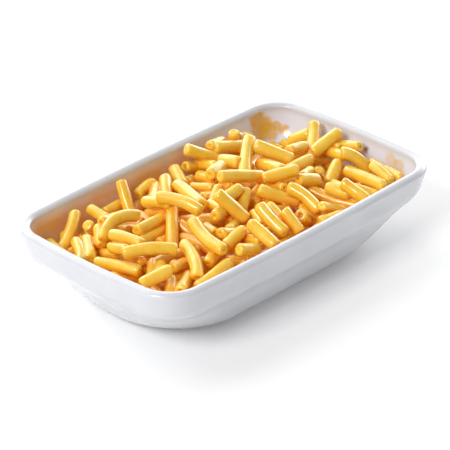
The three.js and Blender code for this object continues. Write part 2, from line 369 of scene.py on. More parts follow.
def make_noodle_material():
    """Cooked macaroni under a wet coat of cheese sauce. Down in the heap and where noodles touch,
    thicker sauce and painted shade make it darker and more orange, and a painted glow lifts it
    there."""
    nodes = Nodes("cheese_macaroni")
    depth = nodes.attribute("depth")
    bare = nodes.ramp(nodes.noise(120.0), (0.3, NOODLE_DEEP), (0.5, NOODLE_MID), (0.72, NOODLE_PALE))
    # Painted shade, partly thicker sauce: darker and more orange where noodles touch and down in the
    # heap.
    touching_shade = nodes.span(nodes.openness(SHADE_REACH * MM), 0.2, 0.8, 0.8, 0.0)
    sauce_and_shade = nodes.maths("MAXIMUM", nodes.span(depth, 0.3, 0.9, 0.0, 0.55), touching_shade)
    sauce = nodes.mix(nodes.span(depth, 0.5, 1.0, 0.0, 0.8), NOODLE_SHADE_LOW, NOODLE_SHADE_DARK)
    nodes.shade(
        Base_Color=nodes.mix(sauce_and_shade, bare, sauce),
        Roughness=nodes.span(nodes.noise(260.0), 0.35, 0.65, 0.26, 0.4),
        Emission_Strength=nodes.maths("MULTIPLY", sauce_and_shade, PAINTED_GLOW),
    )
    fine = nodes.maths("MULTIPLY", nodes.noise(900.0), 0.12)
    nodes.bump(nodes.maths("ADD", nodes.noise(230.0, detail=1.5), fine), 0.2, 0.001)
    nodes.shade(Emission_Color=NOODLE_SHADE_LOW, Subsurface_Weight=0.5, Subsurface_Scale=1.0)
    nodes.shade(Subsurface_Radius=(0.0028, 0.0016, 0.0006), IOR=1.42)
    nodes.shade(Coat_Weight=1.0, Coat_Roughness=0.14, Coat_IOR=1.5)
    return nodes.material


# Sauce colour darkened by painted shade, down in the heap and where noodles touch.
SAUCE_SHADE_LOW = srgb(218, 106, 20)
SAUCE_DEEP = srgb(238, 152, 26)
SAUCE_MID = srgb(245, 180, 46)


def make_sauce_material():
    """The pooled cheese sauce between the noodles, darker and more orange with painted shade down in
    the heap and where noodles touch, and lifted there by a painted glow.
    """
    nodes = Nodes("cheese_sauce")
    pale = nodes.ramp(nodes.noise(140.0, detail=3.0), (0.3, SAUCE_DEEP), (0.7, SAUCE_MID))
    # Painted shade: the sauce darker and more orange down in the heap and where noodles touch.
    deep = nodes.span(nodes.attribute("depth"), 0.3, 0.9, 0.0, 0.4)
    touching_shade = nodes.span(nodes.openness(SHADE_REACH * MM), 0.25, 0.85, 1.0, 0.0)
    low = nodes.maths("MAXIMUM", deep, touching_shade)
    nodes.shade(
        Base_Color=nodes.mix(low, pale, SAUCE_SHADE_LOW),
        Roughness=nodes.span(nodes.noise(200.0), 0.35, 0.65, 0.18, 0.34),
        Emission_Strength=nodes.maths("MULTIPLY", low, PAINTED_GLOW),
    )
    nodes.bump(nodes.noise(420.0), 0.35, 0.001)
    nodes.shade(Emission_Color=NOODLE_SHADE_DARK, Subsurface_Weight=0.5, Subsurface_Scale=1.0)
    nodes.shade(Subsurface_Radius=(0.004, 0.0016, 0.0005), IOR=1.42)
    nodes.shade(Coat_Weight=0.08, Coat_Roughness=0.2)
    return nodes.material


# ---- The dish ----

SIDE_BOW = 2.2
END_BOW = 2.8
BOW_FADE = 50.0  # both insets added up, where the bow has died away
CORNER_RADIUS = 17.0
INNER_CORNER_RADIUS = 12.5
RIM_WIDTH = 5.6
RIM_ROUNDING = 2.4

# Level, inset at the ends, inset at the long sides, corner radius.
OUTSIDE = (
    (0.0, 24.6, 21.6, 38.0),
    (0.35, 23.5, 19.6, 38.0),
    (1.1, 22.5, 17.9, 38.0),
    (4.0, 19.4, 13.6, 36.0),
    (11.5, 13.2, 9.9, 28.0),
    (16.5, 9.6, 7.9, 23.0),
    (19.0, 7.6, 6.5, 21.0),
    (21.5, 5.2, 4.7, 18.8),
    (23.5, 3.6, 3.3, 17.6),
    (26.5, 2.2, 2.0, CORNER_RADIUS),
    (31.0, 1.2, 1.1, CORNER_RADIUS),
    (33.6, 0.55, 0.5, CORNER_RADIUS),
)
INSIDE = (
    (33.0, 6.0, 6.0, INNER_CORNER_RADIUS),
    (25.5, 8.0, 7.8, 13.0),
    (20.0, 11.6, 10.4, 15.0),
    (12.0, 18.0, 14.6, 19.0),
    (7.6, 23.4, 19.0, 23.0),
    (5.4, 29.0, 25.0, 25.0),
    (5.0, 36.0, 32.0, 20.0),
)
UNDERSIDE = (
    (1.2, 33.5, 30.5, 23.0),
    (1.2, 31.5, 28.5, 27.0),
    (0.9, 30.7, 27.7, 29.0),
    (0.0, 30.3, 27.3, 30.0),
)


def rim_stations(steps=12):
    """The rim: a half round, a little wider than it is high."""
    stations = []
    for step in range(steps + 1):
        angle = math.pi * step / steps
        inset = RIM_WIDTH / 2 * (1 - math.cos(angle))
        level = DISH_HEIGHT - RIM_ROUNDING * (1 - math.sin(angle))
        radius = CORNER_RADIUS + (INNER_CORNER_RADIUS - CORNER_RADIUS) * step / steps
        stations.append((level, inset, inset, radius))
    return stations


def dish_ring(station, corner_steps=16, side_steps=14):
    """The dish's plan at one level: a rounded rectangle whose sides bow outwards."""
    level, end, side, radius = station
    bow_share = max(0.0, 1 - (end + side) / BOW_FADE)
    end_bow, side_bow = END_BOW * bow_share, SIDE_BOW * bow_share
    half_x = DISH_HALF_X - end - end_bow
    half_y = DISH_HALF_Y - side - side_bow
    plain = []
    for corner in range(4):
        sign_x = 1 if corner in (0, 3) else -1
        sign_y = 1 if corner < 2 else -1
        for step in range(corner_steps + 1):
            angle = math.pi / 2 * (corner + step / corner_steps)
            plain.append((
                sign_x * (half_x - radius) + radius * math.cos(angle),
                sign_y * (half_y - radius) + radius * math.sin(angle),
            ))
    points = []
    for i, here in enumerate(plain):
        points.append(here)
        if i % (corner_steps + 1) == corner_steps:
            there = plain[(i + 1) % len(plain)]
            for step in range(1, side_steps):
                share = step / side_steps
                points.append([a + (b - a) * share for a, b in zip(here, there)])
    return [
        (
            x + end_bow * math.cos(math.pi / 2 * y / half_y) * x / half_x,
            y + side_bow * math.cos(math.pi / 2 * x / half_x) * y / half_y,
            level,
        )
        for x, y in points
    ]


def smooth_stations(stations, steps=3):
    """More stations on a smooth curve through the given ones."""
    rows = np.array(stations)
    count = len(rows)
    dense = []
    for i in range(count - 1):
        before, here = rows[max(i - 1, 0)], rows[i]
        there, after = rows[i + 1], rows[min(i + 2, count - 1)]
        for step in range(steps):
            t = step / steps
            spline = 0.5 * (
                2 * here + (there - before) * t
                + (2 * before - 5 * here + 4 * there - after) * t ** 2
                + (3 * here - before - 3 * there + after) * t ** 3
            )
            dense.append(tuple(spline))
    dense.append(tuple(rows[-1]))
    return dense


def make_dish(material):
    """The dish as one smooth skin, closed under the foot and on the floor of the inside."""
    rim = rim_stations()
    outer = smooth_stations(OUTSIDE + (rim[0],))[:-1]
    inner = smooth_stations((rim[-1],) + INSIDE)[1:]
    rings = [dish_ring(station) for station in (*UNDERSIDE, *outer, *rim, *inner)]
    around = len(rings[0])
    vertices = [point for ring in rings for point in ring]
    faces = loft_faces(len(rings), around)
    for level, order in ((0, -1), (len(rings) - 1, 1)):
        centre = len(vertices)
        vertices.append((0.0, 0.0, rings[level][0][2]))
        for i in range(around):
            faces.append((level * around + i, level * around + (i + 1) % around, centre)[::order])
    dish = new_object("porcelain_dish", vertices, faces, material)
    inside = dish.data.attributes.new("inside", "FLOAT", "POINT")
    first = (len(rings) - len(inner)) * around
    inside.data.foreach_set("value", [float(i >= first) for i in range(len(vertices))])
    return dish


# ---- The room inside the dish ----

SEARCH_REACH = 90.0  # before and behind AIM, over all of the dish's inside
SEARCH_STEP = 0.25
DEPTHS = DISTANCE + np.arange(-SEARCH_REACH, SEARCH_REACH, SEARCH_STEP)  # from the eye
WALL_LEVELS, *WALL_SHAPE = np.array([rim_stations()[-1], *INSIDE])[::-1].T


def past_wall(points):
    """How far points lie outside the inner wall, its bow left out. Negative is inside."""
    x, y, z = np.moveaxis(points, -1, 0)
    end, side, radius = (np.interp(z, WALL_LEVELS, values) for values in WALL_SHAPE)
    corner_x = np.abs(x) - (DISH_HALF_X - end - END_BOW - radius)
    corner_y = np.abs(y) - (DISH_HALF_Y - side - SIDE_BOW - radius)
    outside = np.hypot(np.maximum(corner_x, 0), np.maximum(corner_y, 0))
    return outside + np.minimum(np.maximum(corner_x, corner_y), 0) - radius


def wall_point(u, v):
    """Where the sight line through a pixel meets the far inner wall."""
    path = EYE + sight_line(u, v) * DEPTHS[:, None]
    inside = past_wall(path) < 0
    return path[len(DEPTHS) - 1 - inside[::-1].argmax()]


HEAP_EDGE = 26.5
HEAP_CROWN = 37.0
HEAP_SHAPE = 2.2  # the higher, the flatter on top


def heap_level(x, y):
    """The level of the macaroni's surface."""
    across = 1 - np.minimum(np.abs(y / (DISH_HALF_Y - RIM_WIDTH)), 1) ** HEAP_SHAPE
    along = 1 - np.minimum(np.abs(x / (DISH_HALF_X - RIM_WIDTH)), 1) ** HEAP_SHAPE
    return HEAP_EDGE + (HEAP_CROWN - HEAP_EDGE) * across * along


# ---- Noodles ----

BEADS = 9  # round samples down a noodle's middle, for what touches what
BEAD_SHARES = np.linspace(0.09, 0.91, BEADS)[:, None]
BEAD_SIDES = 2 * BEAD_SHARES[:, 0] - 1  # -1 at the first end, 1 at the second
TOUCH = 0.9  # of two radii, between the middles of noodles that touch: they are soft
WALL_GAP = 0.3
WALL_MOVES = 8  # at most, to clear the wall
NUDGE = 0.2  # to feel how the wall runs
OVER_CORE = 0.6  # of a radius, how high the middle of a dropped noodle stays over the core
CORE_DEPTH = 10.5  # under the heap's surface
DOWN = np.array([0.0, 0.0, -1.0])


def core_level(x, y):
    """The plain mass of pasta and sauce under the noodles that can be seen."""
    return heap_level(x, y) - CORE_DEPTH


class Noodle:
    """A bent tube: a shallow arc through its two ends."""

    def __init__(self, start, end, bow, radius):
        self.start = np.asarray(start, float)
        self.end = np.asarray(end, float)
        self.bow = np.asarray(bow, float)
        self.radius = radius
        self.fine = False
        self.open_bore = False

    @property
    def length(self):
        return float(np.linalg.norm(self.end - self.start))

    def along(self, shares):
        return self.start + (self.end - self.start) * shares + self.bow * (4 * shares * (1 - shares))

    def beads(self):
        return self.along(BEAD_SHARES)

    def shift(self, way):
        self.start = self.start + way
        self.end = self.end + way


class Heap:
    """The noodles laid so far."""

    def __init__(self):
        self.noodles = []
        self.points = np.zeros((0, 3))
        self.radii = np.zeros(0)

    def lay(self, noodle):
        self.noodles.append(noodle)
        self.points = np.vstack((self.points, noodle.beads()))
        self.radii = np.append(self.radii, np.full(BEADS, noodle.radius))


def fall(beads, radius, heap, way, touch=TOUCH):
    """How far beads can go a straight way before one of them meets a noodle."""
    gap = heap.points[None] - beads[:, None]
    along = gap @ way
    aside = (gap ** 2).sum(-1) - along ** 2
    inside = (touch * (radius + heap.radii))[None] ** 2 - aside
    stops = np.where(inside > 0, along - np.sqrt(np.maximum(inside, 0)), np.inf)
    return stops.min(initial=np.inf)


def off_the_wall(noodle):
    """Moves a noodle level, away from the wall, until it clears it, even into others."""
    for _ in range(WALL_MOVES):
        beads = noodle.beads()
        depth = past_wall(beads) + noodle.radius + WALL_GAP
        worst = int(depth.argmax())
        if depth[worst] <= 0:
            return
        here = beads[worst]
        slope = np.array([
            past_wall(here + [NUDGE, 0, 0]) - past_wall(here - [NUDGE, 0, 0]),
            past_wall(here + [0, NUDGE, 0]) - past_wall(here - [0, NUDGE, 0]),
            0.0,
        ])
        noodle.shift(-slope / max(np.linalg.norm(slope), 1e-6) * depth[worst])


LEAST_LENGTH = 13.0
MOST_LENGTH = 27.0
RISE = 7.5  # how far a noodle's top may stand over the surface level
HIGHEST = 43.5  # level that its top should stay under
UNDER_CORE = 1.2  # of a radius, how far its middle may be under the core's level


def first_depth(condition):
    """The first of DEPTHS at which a condition holds on each bead's sight line."""
    condition[:, -1] = True
    return DEPTHS[condition.argmax(axis=1)]


class Seen:
    """A noodle by where the photograph shows it: its two ends and its radius in pixels of a
    frame IMAGE_SIZE wide, and how far its middle bows to the left of the way from the first end
    to the second. The note says near where the first end is the one nearer to the eye, and bore
    where the hole in it isn't full of sauce."""

    def __init__(self, start, end, radius, bow=0, note=""):
        self.start, self.end = start, end
        self.bow = bow
        self.radius = radius
        self.near_first = "near" in note
        self.open_bore = "bore" in note

    def at(self, depth, tilt):
        """The noodle with its middle at a depth from the eye and its second end twice the tilt
        deeper than its first."""
        start = EYE + sight_line(*self.start) * (depth - tilt)
        end = EYE + sight_line(*self.end) * (depth + tilt)
        across = np.array(self.end, float) - self.start
        across /= np.linalg.norm(across)
        bow = self.bow * (across[1] * RIGHT + across[0] * UP) * depth / FOCAL_PIXELS
        return Noodle(start, end, bow, self.radius * depth / FOCAL_PIXELS)

    def depth_range(self):
        """For each bead the least depth it may have, the depth at which it lies in the surface,
        and the depth at which it meets the core or the far wall."""
        flat = self.at(DISTANCE, 0.0)
        ways = (flat.beads() - EYE) / DISTANCE
        places = EYE + ways[:, None] * DEPTHS[None, :, None]
        x, y, z = np.moveaxis(places, -1, 0)
        top = z + flat.radius
        level = heap_level(x, y)
        inside = past_wall(places) + flat.radius + WALL_GAP < 0
        far_wall = DEPTHS[len(DEPTHS) - 1 - inside[:, ::-1].argmax(axis=1)]
        low_enough = inside & (top < np.minimum(level + RISE, HIGHEST))
        least = np.minimum(first_depth(low_enough), far_wall)
        after = DEPTHS[None] >= least[:, None]
        surface = first_depth(after & ((top < level) | ~inside))
        core = first_depth(after & ((z < core_level(x, y) - flat.radius * UNDER_CORE) | ~inside))
        return least, surface, core


def line_through(depths):
    """Middle depth and tilt of the straight line nearest to the depths of the beads."""
    return depths.mean(axis=-1), depths @ BEAD_SIDES / (BEAD_SIDES @ BEAD_SIDES)


def tilt_limits(seen, flats):
    """The least and most tilt that leave each noodle as long as a macaroni, its noted end near."""
    most = np.sqrt(np.maximum(MOST_LENGTH ** 2 - flats ** 2, 0.0)) / 2
    least = np.sqrt(np.maximum(LEAST_LENGTH ** 2 - flats ** 2, 0.0)) / 2
    natural = line_through(np.array([noodle.depth_range()[1] for noodle in seen]))[1]
    noted = np.array([noodle.near_first for noodle in seen])
    way = np.where(noted | (natural >= 0), 1.0, -1.0)
    low = np.where(way > 0, least, -most)
    high = np.where(way > 0, most, -least)
    free = (least == 0) & ~noted
    return np.where(free, -most, low), np.where(free, most, high)


SETTLE_TURNS = 1200
HOME_PULL = 0.05  # of the way back to a noodle's own depth, in the first turn


def lay_seen(rows, heap):
    """Lays noodles in the heap's surface. Turn by turn, each then moves along its sight line to be
    in front of those before it in the list where they cross, and clear of walls and core."""
    seen = [Seen(*row) for row in rows]
    flats = [noodle.at(DISTANCE, 0.0) for noodle in seen]
    least, surface, core = np.moveaxis(np.array([noodle.depth_range() for noodle in seen]), 1, 0)
    low, high = tilt_limits(seen, np.array([flat.length for flat in flats]))
    home, natural = line_through(surface)
    lean = np.clip(natural, low, high)
    home = home + np.maximum(np.abs(lean) - np.abs(natural), 0)

    across = np.vstack([(flat.beads() - EYE) @ np.stack((RIGHT, UP), axis=1) for flat in flats])
    owner = np.repeat(np.arange(len(seen)), BEADS)
    radii = np.array([flat.radius for flat in flats])[owner]
    apart = np.linalg.norm(across[:, None] - across[None], axis=-1)
    contact = TOUCH * (radii[:, None] + radii[None])
    behind, front = np.nonzero((apart < contact) & (owner[:, None] < owner[None]))
    need = np.sqrt(contact[behind, front] ** 2 - apart[behind, front] ** 2)

    middle, tilt = home.copy(), lean.copy()
    for turn in range(SETTLE_TURNS):
        pull = HOME_PULL * (1 - turn / SETTLE_TURNS)
        middle += pull * (home - middle)
        tilt += pull * (lean - tilt)
        depths = middle[:, None] + tilt[:, None] * BEAD_SIDES
        line = depths.ravel()
        overlap = np.maximum(line[front] + need - line[behind], 0) / 2
        count = len(line)
        hits = np.bincount(behind, overlap > 0, count) + np.bincount(front, overlap > 0, count)
        shove = np.bincount(behind, overlap, count) - np.bincount(front, overlap, count)
        shoved = depths + (shove / np.maximum(hits, 1)).reshape(depths.shape)
        moved = np.clip(shoved, least, core) - depths
        share = moved / (1 + 3 * BEAD_SIDES ** 2) / np.maximum((moved != 0).sum(axis=1), 1)[:, None]
        middle += share.sum(axis=1)
        tilt = np.clip(tilt + 3 * share @ BEAD_SIDES, low, high)

    for row, depth, slope in zip(seen, middle, tilt):
        noodle = row.at(depth, slope)
        off_the_wall(noodle)
        noodle.fine = True
        noodle.open_bore = row.open_bore
        heap.lay(noodle)


FREE_LENGTH = (15.0, 26.0)
FREE_RADIUS = (2.75, 3.1)
FREE_BOW = (0.02, 0.13)  # of the length
MOST_DIP = 0.45  # radians, of the whole noodle from level
MOST_LEAN = 0.7  # radians, of its bow from level
DROP_HEIGHT = 25.0  # over the rim


def random_noodle(rng, place):
    """A noodle in the air over a place."""
    length = rng.uniform(*FREE_LENGTH)
    turn = rng.uniform(0, math.tau)
    dip = rng.uniform(-MOST_DIP, MOST_DIP)
    way = np.array([math.cos(turn) * math.cos(dip), math.sin(turn) * math.cos(dip), math.sin(dip)])
    aside = np.array([-math.sin(turn), math.cos(turn), 0.0])
    lean = rng.uniform(-MOST_LEAN, MOST_LEAN)
    bow_way = aside * math.cos(lean) + np.array([0, 0, 1.0]) * math.sin(lean)
    bow = bow_way * length * rng.uniform(*FREE_BOW) * rng.choice((-1, 1))
    middle = np.array([place[0], place[1], DISH_HEIGHT + DROP_HEIGHT])
    radius = rng.uniform(*FREE_RADIUS)
    return Noodle(middle - way * length / 2, middle + way * length / 2, bow, radius)


def drop(noodle, heap):
    """Lets a noodle fall until it rests, then moves it off the wall."""
    beads = noodle.beads()
    under = core_level(beads[:, 0], beads[:, 1]) + noodle.radius * OVER_CORE
    travel = min(fall(beads, noodle.radius, heap, DOWN), (beads[:, 2] - under).min())
    noodle.shift(DOWN * travel)
    off_the_wall(noodle)


def height_in_heap(noodle):
    """How far a noodle's top is above the surface level, at its highest."""
    beads = noodle.beads()
    return (beads[:, 2] + noodle.radius - heap_level(beads[:, 0], beads[:, 1])).max()


GAP_REACH = (DISH_HALF_X - 12, DISH_HALF_Y - 11)
GAP_GRID = 2.0


def across_view(points):
    """Places across the view, as wide as at the aim, and depths from the eye."""
    reach = points - EYE
    depth = -(reach @ BACK)
    return (reach @ np.stack((RIGHT, UP), axis=1)) * (DISTANCE / depth)[..., None], depth


def from_above(points):
    return points[:, :2]


def from_the_eye(points):
    return across_view(points)[0]


class Gaps:
    """The places on the core that show from one side between the noodles laid so far."""

    def __init__(self, heap, side):
        self.side = side
        x, y = np.meshgrid(*(np.arange(-reach, reach, GAP_GRID) for reach in GAP_REACH))
        self.places = np.stack((x, y, core_level(x, y)), axis=-1).reshape(-1, 3)
        self.across = side(self.places)
        self.bare = np.ones(len(self.places), bool)
        for noodle in heap.noodles:
            self.bare &= ~self.covered_by(noodle)

    def covered_by(self, noodle):
        apart = np.linalg.norm(self.across[:, None] - self.side(noodle.beads())[None], axis=-1)
        return self.bare & (apart.min(axis=1) < noodle.radius)

    def over_one(self, rng, rise):
        """Where something that lies a rise higher than a random gap hides it from this side."""
        place = rng.choice(self.places[self.bare])
        return place + BACK * rise / BACK[2] if self.side is from_the_eye else place


def fill_gaps(heap, gaps, rng, count, highest, settle, tries):
    """Lays noodles over the gaps, each the best of some tries. settle brings a noodle to rest and
    says how good a place that is, or None where it can't stay. What it fills counts too."""
    for _ in range(count):
        best = None
        for _ in range(tries if gaps.bare.any() else 0):
            noodle = random_noodle(rng, gaps.over_one(rng, rng.uniform(0, highest)))
            worth = settle(noodle, heap)
            if worth is None or (past_wall(noodle.beads()) + noodle.radius).max() > 0:
                continue
            fills = gaps.covered_by(noodle)
            worth += fills.sum()
            if best is None or worth > best[0]:
                best = (worth, noodle, fills)
        if best is not None:
            heap.lay(best[1])
            gaps.bare &= ~best[2]


DEEP = 7.0  # under the core's surface, where a noodle of the bed starts
BED_RISE = 0.7  # of a radius, how far the middle of such a noodle comes up over that surface
BED_SHORT = 0.8  # of a radius, how much lower it may be stopped by another
BED_TOUCH = 0.7  # like TOUCH, for noodles that are pressed together in the core


def rise_to_rest(noodle, heap):
    """Lets a noodle come up from inside the core until it meets another or has fully risen."""
    beads = noodle.beads()
    over = beads[:, 2] - core_level(beads[:, 0], beads[:, 1])
    noodle.shift(DOWN * (over.max() + DEEP))
    full = DEEP + over.max() - over.mean() + noodle.radius * BED_RISE
    travel = min(fall(noodle.beads(), noodle.radius, heap, -DOWN, BED_TOUCH), full)
    noodle.shift(-DOWN * travel)
    return travel - full if travel > full - noodle.radius * BED_SHORT else None


COVER = 0.7  # of two radii, between the middles of noodles that cover each other in the view
RIM_MARGIN = 1.2  # of a radius, over a noodle's middle, that the rim has to hide too


def hidden_by_rim(points):
    """Whether the near wall stands between points in the dish and the eye."""
    share = np.maximum(DISH_HEIGHT - points[:, 2], 0) / (EYE[2] - points[:, 2])
    return past_wall(points + (EYE - points) * share[:, None]) > 0


def keeps_view(heap):
    """A test for noodles that cover none of those laid so far, as the photograph shows them."""
    seen_across, seen_depth = across_view(heap.points)
    seen_radii = heap.radii

    def keeps(noodle):
        beads = noodle.beads()
        across, depth = across_view(beads)
        apart = np.linalg.norm(across[:, None] - seen_across[None], axis=-1)
        covers = (apart < COVER * (noodle.radius + seen_radii)) & (depth[:, None] < seen_depth)
        hidden = hidden_by_rim(beads + UP * noodle.radius * RIM_MARGIN)
        return not (covers.any(axis=1) & ~hidden).any()

    return keeps


# Back to front, so that each noodle rests on those that it hides.
SEEN = (
    # Along the far long wall, the far corner, and what is deep between them.
    ((236, 137), (249, 136), 5.2),
    ((268, 141), (280, 147), 5.5),
    ((283, 143), (296, 150), 5.5),
    ((207.5, 145), (221, 139.5), 5.5),
    ((232, 131), (231, 152), 6.0),
    ((341, 145), (361, 146.5), 5.6),
    ((372, 161.5), (386, 169), 5.0),
    ((326, 140), (342, 149), 5.8),
    ((316, 156), (334, 158), 5.8),
    ((325, 150), (345, 156), 5.8),
    ((290, 142), (312, 134), 7.0, 1),
    ((214, 148.5), (250, 147), 6.6, 1.5),
    ((184, 166.5), (203, 168), 6.2, 0, "bore"),
    ((183, 148), (218, 159), 6.5),
    ((198, 164.5), (216, 166), 6.0),
    ((219.5, 160), (240, 163), 6.5, 0.5),
    ((189, 179), (203, 184), 5.0, 0, "near"),
    ((137, 196), (154, 182), 6.0, 1.5),
    ((173.5, 167), (183, 186), 6.3),
    ((157, 186), (151, 204), 6.0),
    ((197.5, 176), (215, 180), 6.6),
    ((250.5, 137.5), (245, 176), 6.4, -1.8),
    ((315.5, 123), (311, 160), 6.8, 1.2),
    ((288, 151), (306, 146), 6.0),
    ((341, 152.5), (368, 173), 6.6, 5.0),
    ((316.5, 151.5), (343.5, 130.5), 6.8, 0.5),
    ((253, 145), (293, 161), 7.0, 0.5),
    ((209.5, 175), (222, 165), 6.5, 0, "near"),
    ((285, 172), (311, 159), 6.5),
    ((320, 170), (310, 176), 5.0, 0, "near"),
    ((311, 170), (302, 176), 5.0),
    ((259, 163.5), (283, 171), 6.6, 1),
    # The middle and the right end.
    ((222, 184), (232, 189), 5.5),
    ((191, 187), (214, 188), 5.2),
    ((202, 197), (217, 196), 5.5),
    ((234, 182), (238, 196), 5.5),
    ((219.5, 186), (211.5, 208), 6.0),
    ((269, 184), (285, 188), 5.5),
    ((246.5, 189), (241.5, 212), 6.3),
    ((338.5, 162), (329, 184), 7.0),
    ((384, 169.5), (402, 178.5), 5.6),
    ((371.5, 164.5), (391, 181), 5.6, 0.5),
    ((346, 170.5), (385, 187), 6.6, 0.5),
    ((351, 188), (378, 196), 6.0),
    ((333, 184), (345, 189), 5.5),
    ((298, 180), (318.5, 179.5), 6.6),
    ((309, 189.5), (358, 206), 6.5, -2.5),
    ((326.5, 187), (350, 195), 6.4, 0, "bore"),
    ((341.5, 182), (368, 201), 6.8),
    ((219, 176.5), (263, 176.5), 6.6, 0.5),
    ((263, 178.5), (298, 169.5), 6.6, 0, "bore"),
    ((240.5, 188), (222, 200), 6.6),
    ((258, 189), (299, 201), 7.0, -1.5),
    ((288, 187), (319.5, 213), 6.9, 3.5),
    ((300.5, 215), (307, 222), 6.7, 0, "near bore"),
    ((321, 206), (345, 211), 5.5),
    ((320, 222.5), (343, 215), 6.4),
    ((269, 205), (284, 222), 5.8),
    ((283, 210), (300, 232), 6.8),
    ((253, 212), (263, 224), 5.0),
    ((209, 203.5), (223, 209), 5.5),
    ((214.5, 216.5), (229, 207), 6.6),
    ((216, 193), (246.5, 219.5), 7.3),
    ((258.5, 205), (285.5, 233.5), 7.2, -1),
    ((237, 222), (229, 229), 5.0),
    ((206, 226), (215, 233), 5.0),
    ((220, 233.5), (237, 233), 6.2),
    ((242.5, 230), (225, 246.5), 7.0),
    ((247, 238), (261, 242), 5.0),
    ((250.5, 223), (276, 246), 7.0, -0.3),
    ((227, 261), (247, 263), 6.0),
    ((238, 250), (257.5, 248.5), 6.6),
    # The left end and the near corner.
    ((176.5, 184), (203, 206), 7.0, 0.5),
    ((165, 177), (167, 199), 6.3),
    ((104, 212.5), (122, 203), 5.5),
    ((88.5, 208), (108, 220), 5.8),
    ((119.8, 180.5), (130, 216), 6.1),
    ((87, 225), (97, 232), 6.0, 0, "near"),
    ((101, 222.5), (116, 217), 5.8),
    ((98.5, 227), (101.5, 246), 6.3),
    ((147, 213.5), (166, 211), 5.3),
    ((128, 229), (146, 231), 5.8),
    ((136, 231), (172, 213), 6.2),
    ((102.5, 240), (139, 216), 6.3, 10),
    ((139, 243), (173, 226), 6.3),
    ((158, 243), (174, 236), 5.5),
    ((172, 206), (172, 250), 6.6),
    ((144, 202), (172, 204), 6.2, 1),
    ((157, 197.5), (201, 212), 6.5, 4),
    ((102, 253), (117, 254), 5.2),
    ((110.5, 247.5), (128, 250), 6.3),
    ((110, 234.5), (143, 245), 6.4, 1.5, "bore"),
    ((87, 238), (90.5, 259), 6.6),
    ((75, 212), (61, 250), 6.2, 2.2),
    ((129, 260), (143, 261), 5.0),
    ((96, 262.5), (140, 271.5), 6.8, 1),
    ((122.5, 253.5), (177, 249.5), 6.6, 3),
    ((152.5, 261), (151, 278), 5.5),
    ((161.5, 264), (157, 280), 6.5),
    ((172, 268), (188, 262), 6.0),
    ((171, 279), (171, 298), 7.0),
    ((141, 285), (171, 270), 7.0, 0.5),
    ((190, 274), (180, 291), 6.5),
    ((207.5, 264), (218, 250), 6.5),
    ((192.5, 220), (224.5, 250.5), 6.9, -4),
    ((184, 243.5), (197, 278), 6.8, 4),
    ((229.5, 263), (197, 289), 7.2, 0.5),
)

# The gaps that show from one side are filled with a bed of noodles in the core's surface, and then
# with others dropped on it: at most how many, at most how far over a gap, and tries for each.
BED_COUNT, BED_OVER, BED_TRIES = 220, 3, 24
FILL_COUNT, FILL_OVER, FILL_TRIES = 100, 9, 40
HIGH_FILL = 1.0  # how far one of the others may stand over the heap's level
HEAP_SEED = 41
SKIN_SEED = 7
SAUCE_SEED = 3


def cut_end(openness):
    """Rings from the bottom of the bore, over the cut end, to the outside: how far in from the end
    and how far out from the middle, in radii. Sauce fills the bore at openness 0."""
    bore = 0.16 + 0.22 * openness
    depth = 0.05 + 1.35 * openness
    return (
        (depth, 0.02), (depth * 0.93, bore * 0.75), (depth * 0.4, bore), (depth * 0.06, bore * 1.2),
        (0.0, 0.52), (0.04, 0.72), (0.13, 0.87), (0.32, 0.96), (0.65, 1.0),
    )


PLAIN_END = ((0.1, 0.1), (0.02, 0.65), (0.2, 0.92), (0.55, 1.0))
OPEN_BORE = 0.8
FIRST_BORE = 0.3  # root of the most that a first end is open where no bore is noted
LAST_BORE = 0.55  # the same for a last end

# How far a noodle departs from a round tube, in radii, and how its waves turn from end to end.
MOST_FLAT = 0.05
MOST_CRUSHED = 0.11
WAVE, WAVE_TURN = 0.022, 9
TWIST, TWIST_TURN = 0.018, 5
MOST_SLANT = 0.22
END_POWER = 4  # the higher, the nearer to the ends they are crushed and slanted
ASKEW = (0.31, -0.52, 0.79)  # any way that no noodle runs


def noodle_rings(noodle, first_end, last_end, body, sides, rng):
    """The points of a noodle's skin, ring by ring."""
    radius, length = noodle.radius, noodle.length
    first = [(inset * radius, out) for inset, out in first_end]
    last = [(length - inset * radius, out) for inset, out in reversed(last_end)]
    inner = np.linspace(first[-1][0], last[0][0], body + 2)[1:-1]
    stations = np.array(first + [(place, 1.0) for place in inner] + last)
    shares = stations[:, :1] / length
    out = stations[:, 1:]

    middle = noodle.along(shares)
    tangent = (noodle.end - noodle.start) + noodle.bow * 4 * (1 - 2 * shares)
    tangent /= np.linalg.norm(tangent, axis=1, keepdims=True)
    across = np.cross(tangent, ASKEW)
    across /= np.linalg.norm(across, axis=1, keepdims=True)
    third = np.cross(tangent, across)

    angle = np.arange(sides)[None] * math.tau / sides
    end_share = np.abs(2 * shares - 1) ** END_POWER
    phases = rng.uniform(0, math.tau, 6)
    flat, crushed = rng.uniform(0.0, MOST_FLAT), rng.uniform(0.0, MOST_CRUSHED)
    swell = (
        1
        + flat * np.cos(2 * angle + phases[0])
        + crushed * end_share * np.cos(2 * angle + phases[1])
        + WAVE * np.sin(shares * WAVE_TURN + phases[2])
        + TWIST * np.cos(3 * angle + shares * TWIST_TURN + phases[3])
    )
    slant = rng.uniform(-MOST_SLANT, MOST_SLANT) * np.where(shares < 0.5, 1, -1) * end_share
    reach = out * radius * swell
    points = (
        middle[:, None]
        + across[:, None] * (reach * np.cos(angle))[..., None]
        + third[:, None] * (reach * np.sin(angle))[..., None]
        + tangent[:, None] * (slant * reach * np.cos(angle + phases[4]))[..., None]
    )
    return points.reshape(-1, 3)


